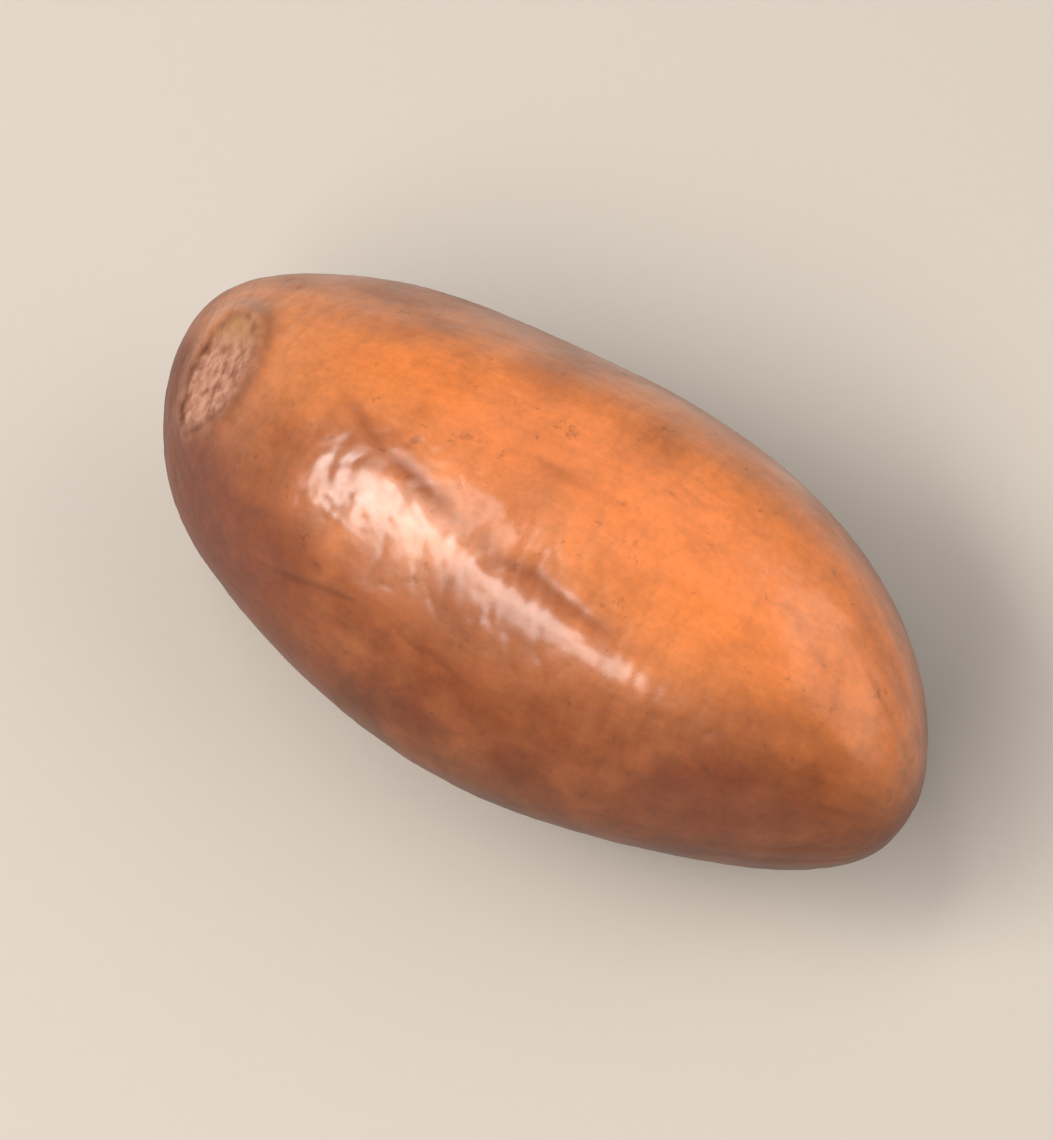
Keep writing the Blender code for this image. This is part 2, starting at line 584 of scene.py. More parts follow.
    def relief(self, local: Floats) -> Floats:
        """The height that the scar adds along the way it faces.

        Inside the rim the coat gives way to a floor at -depth, on which the pad domes as a power of
        1 - r squared, with a ragged grain and fissures. A Gaussian collar stands on the rim, and faint rings
        run out from it.

        Args:
            local: points in the scar's axes.

        Returns:
            The heights, in metres.
        """
        from_rim = self.from_rim(local)
        radius = 1.0 + from_rim / self.half_width
        dome = np.clip(1.0 - radius**2, 0.0, 1.0) ** self.pad_fullness
        rough = self.pad_grain * self.grain.at(local) - self.fissures.depth * self.fissures.at(local)
        pad = self.pad_rise * dome + rough * smoothstep(0.0, self.pad_edge, dome)
        collar = self.collar_height * gaussian(from_rim / self.collar_width)
        rings = self.ring_height * np.sin(2.0 * math.pi * from_rim / self.ring_spacing)
        rings *= gaussian(from_rim / self.ring_reach) * smoothstep(0.0, self.ring_start, from_rim)
        tints = self.tints(local)
        floor = tints[Tint.SCAR] * (pad - local[:, 2] - self.depth)
        return collar + rings + floor - self.trench_depth * tints[Tint.TRENCH]


@dataclass(frozen=True)
class CoatRelief:
    """The coat's fine relief, from broad unevenness to leathery wrinkles."""

    radius: float = 4.4 * MM  # of the seed's section
    crosswise: Wrinkles = Wrinkles(
        Unevenness(51, (0.62 * MM, 1.984 * MM, 1.984 * MM), 2, 0.35), 8.0 * MICRON, 0.13, 0.10
    )
    leathery: Wrinkles = Wrinkles(
        Unevenness(52, (0.95 * MM, 1.235 * MM, 1.235 * MM), 2, 0.35), 9.0 * MICRON, 0.12, 0.10
    )
    lengthwise: Wrinkles = Wrinkles(
        Unevenness(53, (4.0 * MM, 1.0 * MM, 1.0 * MM), 2, 0.35), 9.0 * MICRON, 0.20, 0.11
    )
    fine: Wrinkles = Wrinkles(
        Unevenness(54, (0.46 * MM, 0.736 * MM, 0.736 * MM), 2, 0.35), 4.5 * MICRON, 0.28
    )
    leathery_lost: float = 0.6  # what leathery wrinkles lose where crosswise ones show
    lengthwise_least: float = 0.25  # how strong lengthwise ones are before they grow
    lengthwise_ends: Pair = (0.45, 0.90)  # where they grow, of the half length
    lengthwise_tips: Pair = (0.06, 0.30)  # the girths between which they fade out
    fine_share: float = 0.7  # of fine wrinkles, away from the most crinkled place
    strayed: float = 0.16 * MM  # how far the wrinkles stray from their lines
    straying: Unevenness = Unevenness(55, 1.5 * MM, 2)
    patches: Patches = Patches(Unevenness(56, 3.1 * MM), (-0.45, 0.45))  # of crosswise wrinkles
    crease_strayed: float = 0.012  # on the unit sphere
    crease_straying: Unevenness = Unevenness(57, 0.8 * MM)
    broad_height: float = 34.0 * MICRON
    broad: Unevenness = Unevenness(58, 4.6 * MM)
    middling_height: float = 13.0 * MICRON
    middling: Unevenness = Unevenness(59, 1.9 * MM, 2)
    ripple_spacing: float = 0.44 * MM
    ripple_height: float = 2.2 * MICRON
    ripple_bend: float = 1.3  # how many ripples the bends in them span
    ripple_bends: Unevenness = Unevenness(60, 2.7 * MM, 2)
    ripple_patches: Patches = Patches(Unevenness(61, 2.2 * MM), (-0.2, 0.5))
    pit_depth: float = 16.0 * MICRON
    pits: Patches = Patches(Unevenness(62, 0.55 * MM), (0.62, 0.95))
    pucker_height: float = 8.0 * MICRON
    pucker: Unevenness = Unevenness(64, 0.38 * MM, 2)
    pucker_patches: Patches = Patches(Unevenness(63, 2.6 * MM), (-0.1, 0.7), (0.25, 0.70))
    puckered: SoftSpot = SoftSpot((-0.36, -0.34, 0.87), 1.0, 0.30)  # the most crinkled place
    dimple: Crease = Crease((0.03, 0.10, 0.994), (0.13, 0.05, 0.99), 36.0 * MICRON, 0.050)
    spots: tuple[SoftSpot, ...] = (
        SoftSpot((-0.20, -0.74, 0.64), 45.0 * MICRON, 0.06),  # small swelling on the lower side
        SoftSpot((0.985, -0.06, -0.12), -70.0 * MICRON, 0.10),  # chalaza, the pucker at the far end
        SoftSpot((0.985, -0.06, -0.12), 60.0 * MICRON, 0.26),  # and the low mound around it
        SoftSpot((0.45, -0.75, 0.50), -45.0 * MICRON, 0.22),  # facets that the coat dried to
        SoftSpot((0.50, 0.62, -0.50), -60.0 * MICRON, 0.28),
        SoftSpot((-0.30, -0.90, -0.30), -55.0 * MICRON, 0.26),
    )
    creases: tuple[Crease, ...] = (
        Crease((-0.44, -0.80, 0.42), (-0.20, -0.78, 0.60), 32.0 * MICRON, 0.020),
        Crease((-0.10, -0.80, 0.60), (0.10, -0.86, 0.52), 14.0 * MICRON, 0.016),
        Crease((0.30, 0.86, 0.30), (0.62, 0.76, 0.20), 26.0 * MICRON, 0.022),
        Crease((-0.50, 0.40, -0.76), (-0.10, 0.62, -0.77), 34.0 * MICRON, 0.024),
        Crease((0.86, -0.38, 0.18), (0.76, -0.60, 0.10), 16.0 * MICRON, 0.018),
    )

    def valleys(self, directions: Floats, points: Floats) -> tuple[tuple[Wrinkles, Floats], ...]:
        """How deep in each kind of wrinkle each point is, where that kind shows.

        Lengthwise wrinkles are laid out on x and the place on a round section, so that they run together at
        the ends, and they fade out at the very tips.

        Args:
            directions: unit vectors, one in each row.
            points: the smooth coat there, in metres.

        Returns:
            Each kind, with a share from 0 to 1 for each row.
        """
        strayed = points + self.strayed * self.straying.at(points)[:, None]
        patchy = self.patches.at(points)
        section = self.radius * directions[:, 1:] / np.maximum(girth(directions), TINY)[:, None]
        run_together = np.column_stack([strayed[:, 0], section])
        towards_ends = self.lengthwise_least + smoothstep(*self.lengthwise_ends, np.abs(directions[:, 0]))
        off_tips = smoothstep(*self.lengthwise_tips, girth(directions))
        return (
            (self.crosswise, self.crosswise.at(strayed) * patchy),
            (self.leathery, self.leathery.at(strayed) * (1.0 - self.leathery_lost * patchy)),
            (self.lengthwise, self.lengthwise.at(run_together) * towards_ends * off_tips),
            (self.fine, self.fine.at(strayed) * (self.fine_share + self.puckered.at(directions))),
        )

    def crease(self, directions: Floats, points: Floats) -> Floats:
        """The depth of the single creases at each point, in metres."""
        strayed = directions + self.crease_strayed * self.crease_straying.at(points)[:, None]
        return sum(crease.depth * crease.at(strayed) for crease in self.creases)

    def relief(self, directions: Floats, points: Floats) -> Floats:
        """The height that all of it adds along the normal: what swells, less what is sunk.

        Ripples run crosswise as sin(2 pi (x / spacing + bends)), in patches.

        Args:
            directions: unit vectors, one in each row.
            points: the smooth coat there, in metres.

        Returns:
            The heights, in metres.
        """
        height = self.broad_height * self.broad.at(points) + self.middling_height * self.middling.at(points)
        puckered = self.pucker_patches.at(points) + self.puckered.at(directions)
        height += self.pucker_height * puckered * self.pucker.at(points)
        turns = points[:, 0] / self.ripple_spacing + self.ripple_bend * self.ripple_bends.at(points)
        height += self.ripple_height * self.ripple_patches.at(points) * np.sin(2.0 * math.pi * turns)
        height += sum(spot.at(directions) for spot in self.spots)
        sunk = sum(kind.depth * depth for kind, depth in self.valleys(directions, points))
        sunk += self.pit_depth * self.pits.at(points)
        sunk += self.crease(directions, points) + self.dimple.depth * self.dimple.at(directions)
        return height - sunk


class Side(Enum):
    """The six sides of the box whose blown-up skin is the seed: each one's facing, and its two grid axes."""

    HILUM_END = ((-1, 0, 0), (0, -1, 0), (0, 0, 1))
    FAR_END = ((1, 0, 0), (0, 1, 0), (0, 0, 1))
    LEFT = ((0, 1, 0), (-1, 0, 0), (0, 0, 1))
    RIGHT = ((0, -1, 0), (1, 0, 0), (0, 0, 1))
    TOP = ((0, 0, 1), (1, 0, 0), (0, 1, 0))
    UNDERSIDE = ((0, 0, -1), (-1, 0, 0), (0, 1, 0))

    @property
    def is_end(self) -> bool:
        """True for the two sides across the seed's length."""
        return self in (Side.HILUM_END, Side.FAR_END)


@dataclass(frozen=True)
class SkinGrid:
    """The grid of directions that the seed's skin is drawn on: six square patches, closed into one ball."""

    steps_along: int = 176
    steps_around: int = 104
    pull: float = 0.42  # how strongly the grid is drawn towards the scar, where it is finer
    pull_spread: float = 0.50
    places: float = 1e7  # in a unit: two points that fall on the same one are one point

    def patch(self, side: Side) -> tuple[Floats, Numbers]:
        """One side's directions and its four-cornered faces.

        A point's direction is facing + tan(u) first axis + tan(v) second axis, made unit, where u and v run
        from -45 to 45 degrees in equal steps.

        Args:
            side: the side of the box.

        Returns:
            The unit directions, one in each row, and the faces as four point numbers in each row.
        """
        facing, first, second = np.array(side.value, float)
        columns = self.steps_around if side.is_end else self.steps_along
        u = np.tan(np.linspace(-math.pi / 4.0, math.pi / 4.0, columns + 1))
        v = np.tan(np.linspace(-math.pi / 4.0, math.pi / 4.0, self.steps_around + 1))
        grid_u, grid_v = np.meshgrid(u, v, indexing="ij")
        directions = unit(facing + grid_u[..., None] * first + grid_v[..., None] * second)
        numbers = np.arange(grid_u.size).reshape(grid_u.shape)
        corners = (numbers[:-1, :-1], numbers[1:, :-1], numbers[1:, 1:], numbers[:-1, 1:])
        return directions.reshape(-1, 3), np.stack(corners, axis=-1).reshape(-1, 4)

    def closed(self, towards: Floats) -> tuple[Floats, Numbers]:
        """The six patches as one closed ball, with the grid drawn towards one direction.

        Args:
            towards: the unit direction where the grid is finer.

        Returns:
            The directions and the faces, as for one patch.
        """
        directions, faces, count = [], [], 0
        for side in Side:
            patch_directions, patch_faces = self.patch(side)
            directions.append(patch_directions)
            faces.append(patch_faces + count)
            count += len(patch_directions)
        every = np.concatenate(directions)
        keys = np.round(every * self.places).astype(np.int64)
        _, first, place = np.unique(keys, axis=0, return_index=True, return_inverse=True)
        merged = every[first]
        nearness = gaussian(np.linalg.norm(merged - towards, axis=1) / self.pull_spread)
        drawn = unit(merged + self.pull * nearness[:, None] * towards)
        return drawn, place.reshape(-1)[np.concatenate(faces)]


class CoatPattern(Enum):
    """The coat's natural patterns.

    Each holds the size of its features in metres, its number of finer layers, how strong each of those is as
    a share of the last, and how many times longer the features are along the seed.
    """

    BLOTCH = (2.4 * MM, 3.0, 0.5, 1.0)
    CLOUD = (1.1 * MM, 3.0, 0.5, 1.0)
    SCUFF = (0.42 * MM, 3.0, 0.7, 1.0)
    MOTTLE = (0.60 * MM, 3.0, 0.6, 1.3)
    STREAK = (0.24 * MM, 2.0, 0.6, 7.0)
    SPECKLE = (0.13 * MM, 1.0, 0.6, 1.0)
    RUBBED = (1.30 * MM, 3.0, 0.65, 1.0)
    CORK = (0.32 * MM, 3.0, 0.5, 1.0)
    PORE = (0.11 * MM, 2.0, 0.6, 1.0)
    CRACKLE = (0.22 * MM, 2.0, 0.5, 1.0)
    SCAR_GRAIN = (0.08 * MM, 2.0, 0.7, 1.0)


@dataclass(frozen=True)
class Wash:
    """One wash of colour, mixed over the ones before it by its share.

    Attributes:
        colour: as #rrggbb.
        tint: where the wash lies, or None for everywhere.
        pattern: what breaks it up, if anything does.
        span: two of the pattern's strengths.
        shares: the wash's share of the colour at those two.
        change: how the share changes between them, in a Map Range node's words.
    """

    colour: str
    tint: Tint | None = None
    pattern: CoatPattern | None = None
    span: Pair = USUAL
    shares: Pair = (0.0, 1.0)
    change: str = "SMOOTHSTEP"


@dataclass(frozen=True)
class CoatNodes:
    """The coat's nodes, with which its colours and the qualities of its gloss are put together.

    Attributes:
        tree: the material's nodes.
        drawn: the socket of each pattern's strength.
        tints: the socket of each tint's strength.
    """

    tree: Tree
    drawn: Mapping[CoatPattern, Socket]
    tints: Mapping[Tint, Socket]

    @classmethod
    def on(cls, tree: Tree) -> "CoatNodes":
        """Draws the patterns on the Object coordinates, each at its real size, and reads the mesh's tints.

        Args:
            tree: the material's nodes.

        Returns:
            The coat's nodes.
        """
        place = add_node(tree, "ShaderNodeTexCoord", {}).outputs["Object"]
        drawn = {}
        for pattern in CoatPattern:
            size, layers, keep, longer = pattern.value
            inputs = {"Vector": place, "Scale": per_size(size), "Detail": layers, "Roughness": keep}
            if longer > 1.0:
                stretch = {"Vector": place, "Scale": (1.0 / longer, 1.0, 1.0)}
                inputs["Vector"] = add_node(tree, "ShaderNodeMapping", stretch).outputs[0]
            drawn[pattern] = add_node(tree, "ShaderNodeTexNoise", inputs).outputs["Fac"]
        tints = {
            tint: add_node(tree, "ShaderNodeAttribute", {}, attribute_name=tint.value).outputs["Fac"]
            for tint in Tint
        }
        return cls(tree, drawn, tints)

    def washed(self, shades: object, washes: tuple[Wash, ...]) -> Socket:
        """Mixes washes over a colour, one after the other.

        Args:
            shades: the colour under the washes, or its socket.
            washes: from the lowest to the topmost.

        Returns:
            The socket of the colour.
        """
        for wash in washes:
            share = self.tints.get(wash.tint)
            if wash.pattern:
                share = add_node(
                    self.tree,
                    "ShaderNodeMapRange",
                    {"Value": self.drawn[wash.pattern], **dict(zip(RANGES, wash.span + wash.shares))},
                    interpolation_type=wash.change,
                ).outputs[0]
            if wash.pattern and wash.tint:
                inputs = {0: share, 1: self.tints[wash.tint]}
                share = add_node(
                    self.tree, "ShaderNodeMath", inputs, operation="MULTIPLY", use_clamp=True
                ).outputs[0]
            shades = add_node(
                self.tree, "ShaderNodeMix", {0: share, 6: shades, 7: linear(wash.colour)}, data_type="RGBA"
            ).outputs[2]
        return shades

    def rubbed(self, span: Pair, dulled: Mapping[Tint, float]) -> Socket:
        """A quality of the gloss, patchy where the coat is rubbed and set apart where a tint lies.

        Args:
            span: the quality in smooth and in rubbed places.
            dulled: the quality where each of these tints is full.

        Returns:
            The socket of the quality.
        """
        inputs = {"Value": self.drawn[CoatPattern.RUBBED], **dict(zip(RANGES, USUAL + span))}
        level = add_node(self.tree, "ShaderNodeMapRange", inputs).outputs[0]
        for tint, dull in dulled.items():
            level = add_node(
                self.tree, "ShaderNodeMix", {0: self.tints[tint], 2: level, 3: dull}, data_type="FLOAT"
            ).outputs[0]
        return level


@dataclass(frozen=True)
class WaxySeedCoat:
    """The seed's coat: a hard woody shell under a thin natural wax, as it dries after the pulp is washed off.

    The wax gives a clear gloss that wrinkles break up, over orange pigment on the upper side, lightened there
    and at the far end with painted light. It turns russet on the flanks and mauve-brown and dull towards the
    ends, partly pigment and partly painted shade, and umber beneath with painted shade. Valleys, creases, the
    furrow, the scar's trench and a band beside its collar are darkened with painted shade. The scar has no
    wax, so it is pale, dry and matt.
    """

    name: str = "waxy_seed_coat"
    tan: str = "#cf804b"
    # Orange, lightened with painted light on the upper side and far end
    orange: str = "#ee863e"
    # Russet: blotches and zones of pigment, and painted shade on the flanks and in the furrow and creases
    russet: str = "#7e3b11"
    # Mauve-brown, partly pigment and partly painted shade on the lower side
    mauve: str = "#6e3e30"
    # Umber: painted shade beneath and in valleys and creases, and dark scuffs of pigment
    umber: str = "#3c2012"
    # Brown band beside the scar's collar: painted shadow
    band: str = "#7c4a30"
    pad_pale: str = "#bf8f79"
    pad_dark: str = "#8c5a45"
    ochre: str = "#a97c50"
    # Dark brown in the trench round the scar's pad: painted shade
    trench: str = "#55301f"
    shell_ior: float = 1.45
    shell_shine: float = 0.35  # less than a polished surface's 0.5, because the shell is fibrous
    wax_ior: float = 1.58  # a little over a plain wax's 1.45, for the strength of the highlight
    wax_roughness: float = 0.21  # soft edges to the highlight, as on dry wax
    rough_span: Pair = (0.31, 0.50)  # the shell's roughness, from smooth to rubbed places
    wax_span: Pair = (1.10, 0.75)  # the wax's share, from smooth to rubbed places
    crackle_height: float = 8.5 * MICRON
    pore_height: float = 2.2 * MICRON
    scar_grain_height: float = 9.0 * MICRON

    def material(self) -> bpy.types.Material:
        """Builds the material: pigment, then gloss, then the finest relief.

        Returns:
            The material.
        """
        made = bpy.data.materials.new(self.name)
        made.use_nodes = True
        tree = made.node_tree
        shader = tree.nodes["Principled BSDF"]
        nodes = CoatNodes.on(tree)
        # The roughness and the share of wax where each of these tints is full
        rough = {Tint.FLANK: 0.52, Tint.MAUVE: 0.58, Tint.FURROW: 0.45, Tint.SCAR: 0.85, Tint.TRENCH: 0.80}
        waxy = {Tint.FLANK: 0.30, Tint.MAUVE: 0.18, Tint.FURROW: 0.45, Tint.SCAR: 0.0, Tint.TRENCH: 0.0}
        fed = {
            "Base Color": self.pigment(nodes),
            "Roughness": nodes.rubbed(self.rough_span, rough),
            "Coat Weight": nodes.rubbed(self.wax_span, waxy),
            "Normal": self.grain(nodes),
        }
        for name, socket in fed.items():
            tree.links.new(socket, shader.inputs[name])
        shader.inputs["IOR"].default_value = self.shell_ior
        shader.inputs["Specular IOR Level"].default_value = self.shell_shine
        shader.inputs["Coat IOR"].default_value = self.wax_ior
        shader.inputs["Coat Roughness"].default_value = self.wax_roughness
        return made

    def pigment(self, nodes: CoatNodes) -> Socket:
        """The colour: washes, several of them painted light and shade, then the layers that lighten and
        darken them, then the scar.

        Args:
            nodes: the coat's nodes.

        Returns:
            The socket of the colour.
        """
        coat = (
            Wash(self.russet, None, CoatPattern.BLOTCH, (0.44, 0.68), (0.0, 0.55)),
            # Orange on the upper side and far end, lightened there as painted light
            Wash(self.orange, Tint.ORANGE, CoatPattern.BLOTCH, USUAL, (1.10, 0.75)),
            # Russet on the flanks, partly pigment and partly painted shade
            Wash(self.russet, Tint.FLANK, CoatPattern.BLOTCH, USUAL, (1.05, 0.70)),
            Wash(self.russet, Tint.RUSSET),
            Wash(self.tan, Tint.FLANK, CoatPattern.CLOUD, (0.40, 0.74), (0.0, 0.28)),
            # Umber beneath: painted shade
            Wash(self.umber, Tint.KEEL, CoatPattern.BLOTCH, (0.35, 0.65), (0.90, 0.60)),
            # Mauve-brown low and towards the ends, partly pigment and partly painted shade
            Wash(self.mauve, Tint.MAUVE, CoatPattern.SCUFF, USUAL, (0.75, 1.10)),
            # The band of painted shadow beside the scar's collar
            Wash(self.band, Tint.BAND),
            # Russet in the furrow, creases and dimple: painted shade
            Wash(self.russet, Tint.FURROW),
            # Umber in valleys and creases: painted shade
            Wash(self.umber, Tint.HOLLOW),
            Wash(self.umber, None, CoatPattern.SCUFF, (0.62, 0.72), (0.0, 0.30)),
        )
        shades = nodes.washed(linear(self.tan), coat)
        layers = {
            CoatPattern.MOTTLE: (0.92, 1.07),
            CoatPattern.STREAK: (0.94, 1.05),
            CoatPattern.SPECKLE: (0.95, 1.05),
        }
        for pattern, lightness in layers.items():
            inputs = {"Value": nodes.drawn[pattern], **dict(zip(RANGES, USUAL + lightness))}
            level = add_node(nodes.tree, "ShaderNodeMapRange", inputs).outputs[0]
            shades = add_node(
                nodes.tree, "ShaderNodeVectorMath", {0: shades, 1: level}, operation="MULTIPLY"
            ).outputs[0]
        cork = (
            Wash(self.pad_pale, None, CoatPattern.CORK, (0.36, 0.62), change="LINEAR"),
            Wash(self.ochre, Tint.OCHRE),
        )
        pad = nodes.washed(linear(self.pad_dark), cork)
        shades = add_node(
            nodes.tree, "ShaderNodeMix", {0: nodes.tints[Tint.SCAR], 6: shades, 7: pad}, data_type="RGBA"
        ).outputs[2]
        # The trench darkened with painted shade
        return nodes.washed(shades, (Wash(self.trench, Tint.TRENCH),))

    def grain(self, nodes: CoatNodes) -> Socket:
        """The normal, bent by relief finer than the mesh holds: a fine crackle, pores and the scar's cork.

        Args:
            nodes: the coat's nodes.

        Returns:
            The socket of the normal.
        """
        on_scar = {0: nodes.drawn[CoatPattern.SCAR_GRAIN], 1: nodes.tints[Tint.SCAR]}
        corky = add_node(nodes.tree, "ShaderNodeMath", on_scar, operation="MULTIPLY")
        heights = (
            (nodes.drawn[CoatPattern.CRACKLE], self.crackle_height),
            (nodes.drawn[CoatPattern.PORE], self.pore_height),
            (corky.outputs[0], self.scar_grain_height),
        )
        bent = {}
        for height, distance in heights:
            bump = add_node(nodes.tree, "ShaderNodeBump", {"Height": height, "Distance": distance} | bent)
            bent = {"Normal": bump.outputs[0]}
        return bent["Normal"]


@dataclass
class WholeSeed:
    """The whole seed as one piece: form, furrow, scar, the coat's relief, and pigment with painted light and
    shade.
    """

    node: str = "seed"
    name: str = "seed_in_its_coat"
    form: SeedForm = SeedForm()
    furrow: RapheFurrow = RapheFurrow()
    scar: HilumScar = HilumScar()
    coat: CoatRelief = CoatRelief()
    grid: SkinGrid = SkinGrid()
    finish: WaxySeedCoat = WaxySeedCoat()
    flank_line: float = math.radians(45.0)  # where the upper side's orange turns to russet, partly pigment and partly painted shade, towards -Y
    flank_bow: float = math.radians(25.0)  # how much nearer the top that line is at the ends
    flank_softness: float = 0.31  # half the change's width on the unit sphere, as for the next two lines
    back_line: float = math.radians(59.0)  # the same line towards +Y
    back_softness: float = 0.42
    painted_underside_shade_line: float = math.radians(81.0)  # where painted shade turns the flanks umber towards the underside, on both sides
    painted_underside_shade_softness: float = 0.36
    drifted: float = 0.09  # how far the tints' edges stray, on the unit sphere
    drift: tuple[Unevenness, ...] = tuple(Unevenness(seed, 1.8 * MM, 3) for seed in (71, 72, 73))
    full_crease: float = 32.0 * MICRON  # the depth at which a crease gets its full painted shade
    crease_hollow: float = 0.50  # how strongly a full crease is darkened with painted shade
    crease_furrow: float = 0.70  # how strongly a full crease and the furrow are reddened with painted shade
    dimple_furrow: float = 0.36  # how strongly the dimple is reddened with painted shade
    # Orange zones: the three on the upper side and far end are painted light, the two beneath are pigment
    orange_with_painted_light_zones: tuple[SoftSpot, ...] = (
        SoftSpot((0.40, 0.05, 0.92), 0.95, 0.46),
        SoftSpot((-0.17, 0.26, 0.95), 1.00, 0.33),
        SoftSpot((0.80, 0.20, 0.56), 1.00, 0.44),
        SoftSpot((0.20, 0.80, -0.50), 0.45, 0.45),
        SoftSpot((-0.35, -0.55, -0.76), 0.45, 0.45),
    )
    russet_zones: tuple[SoftSpot, ...] = (
        SoftSpot((-0.42, -0.78, 0.46), 0.60, 0.20),
        SoftSpot((0.04, -0.68, 0.73), 0.45, 0.18),
        SoftSpot((0.50, 0.60, -0.60), 0.50, 0.40),
        SoftSpot((-0.70, 0.60, -0.30), 0.50, 0.36),
        SoftSpot((-0.60, -0.30, 0.74), 0.42, 0.24),
    )
    # Mauve-brown zones, low on the sides and at the ends: pigment, and painted shade where they darken the
    # lower side
    mauve_with_painted_shade_zones: tuple[SoftSpot, ...] = (
        SoftSpot((-0.70, -0.68, 0.20), 1.10, 0.50),
        SoftSpot((0.66, -0.66, 0.30), 0.60, 0.36),
        SoftSpot((1.00, -0.05, -0.20), 0.65, 0.36),
        SoftSpot((-0.93, 0.30, -0.10), 0.60, 0.32),
        SoftSpot((0.10, -0.70, -0.70), 0.40, 0.45),
    )

    def shape(self) -> tuple[Floats, Numbers, dict[Tint, Floats]]:
        """Works out the seed's surface.

        Each direction gives the form's skin point. The coat's relief and the furrow's are added along the
        ellipsoid's normal, and the scar's along the way that the blunt end faces. The underside is pressed
        flat at the level of the solid's flat spot, and the seed moves to where the solid lies.

        Returns:
            The points in metres, the faces as four point numbers in each row, and each tint's strength.
        """
        directions, faces = self.grid.closed(unit(np.array(self.scar.towards)))
        skin = self.form.skin(directions)
        normal = self.form.blunt_normal
        centre = self.form.skin(unit(np.array([self.scar.towards])))[0]
        local = (skin - centre) @ self.scar.axes(normal).T

        fine = self.coat.relief(directions, skin) + self.furrow.relief(directions, skin)
        fine *= 1.0 - self.scar.tints(local)[Tint.SCAR]
        points = skin + fine[:, None] * self.form.outward(directions)
        points += self.scar.relief(local)[:, None] * normal

        level = skin[:, 2].min() + self.form.rest_cut
        points = self.form.laid_flat(points, level)
        smooth = self.form.laid_flat(skin, level)
        low, high = (np.array(corner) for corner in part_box(self.node))
        middle = (smooth.min(axis=0) + smooth.max(axis=0)) / 2.0
        points[:, :2] += ((low + high) / 2.0 - middle)[:2]
        points[:, 2] += low[2] - level
        return points, faces, self.tints(directions, skin, local)

    def tints(self, directions: Floats, skin: Floats, local: Floats) -> dict[Tint, Floats]:
        """Lays the tints out: flanks and underside past lengthwise lines, zones as soft spots, the rest by
        relief.

        The orange zones on the upper side and far end are painted light. The flanks, the underside, the low
        mauve zones and the valleys, creases and furrow are painted shade, the flanks and mauve zones only in
        part.

        Args:
            directions: unit vectors, one in each row.
            skin: the smooth coat there, in metres.
            local: the same in the scar's axes.

        Returns:
            Each tint's strength from 0 to 1, for each row.
        """
        scar = self.scar.tints(local)
        off_scar = 1.0 - scar[Tint.SCAR]
        drift = np.stack([noise.at(skin) for noise in self.drift], axis=1)
        drifted = unit(directions + self.drifted * drift)
        angle = around(drifted)
        # The flanks past these lines get russet, partly pigment and partly painted shade
        line = self.flank_line - self.flank_bow * drifted[:, 0] ** 2
        front = self.beyond(drifted, angle, line, self.flank_softness)
        back = self.beyond(drifted, -angle, self.back_line, self.back_softness)
        crease = self.coat.crease(directions, skin) / self.full_crease
        # Valleys and creases are darkened with painted shade
        hollow = sum(kind.tint * depth for kind, depth in self.coat.valleys(directions, skin))
        # The furrow, creases and dimple are reddened with painted shade
        furrow = self.crease_furrow * (self.furrow.bed(directions, skin) + crease)
        furrow += self.dimple_furrow * self.coat.dimple.at(directions)
        found = {
            Tint.ORANGE: sum(zone.at(drifted) for zone in self.orange_with_painted_light_zones),
            Tint.RUSSET: sum(zone.at(drifted) for zone in self.russet_zones),
            Tint.MAUVE: sum(zone.at(drifted) for zone in self.mauve_with_painted_shade_zones),
            Tint.FLANK: front + back,
            # Umber beneath: painted shade
            Tint.KEEL: self.beyond(drifted, np.abs(angle), self.painted_underside_shade_line, self.painted_underside_shade_softness),
            Tint.HOLLOW: (hollow + self.crease_hollow * crease) * off_scar,
            Tint.FURROW: furrow * off_scar,
            **scar,
        }
        return {tint: np.clip(strength, 0.0, 1.0) for tint, strength in found.items()}

    @staticmethod
    def beyond(directions: Floats, angle: Floats, line: Floats | float, softness: float) -> Floats:
        """0 before a lengthwise line and 1 past it: a smoothstep of the distance, girth sin(angle - line)."""
        return smoothstep(-softness, softness, girth(directions) * np.sin(angle - line))

    def build(self) -> bpy.types.Object:
        """Makes the seed's mesh with its tints and material, in place of the plain solid.

        Returns:
            The piece.
        """
        points, faces, tints = self.shape()
        mesh = bpy.data.meshes.new(self.name)
        mesh.from_pydata(points, [], faces, shade_flat=False)
        for tint, strength in tints.items():
            held = mesh.attributes.new(tint.value, "FLOAT", "POINT")
            held.data.foreach_set("value", strength.astype(np.float32))
        mesh.materials.append(self.finish.material())
        mesh.update()
        piece = bpy.data.objects.new(self.name, mesh)
        bpy.context.scene.collection.objects.link(piece)
        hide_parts(self.node)
        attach(piece, "root")
        return piece


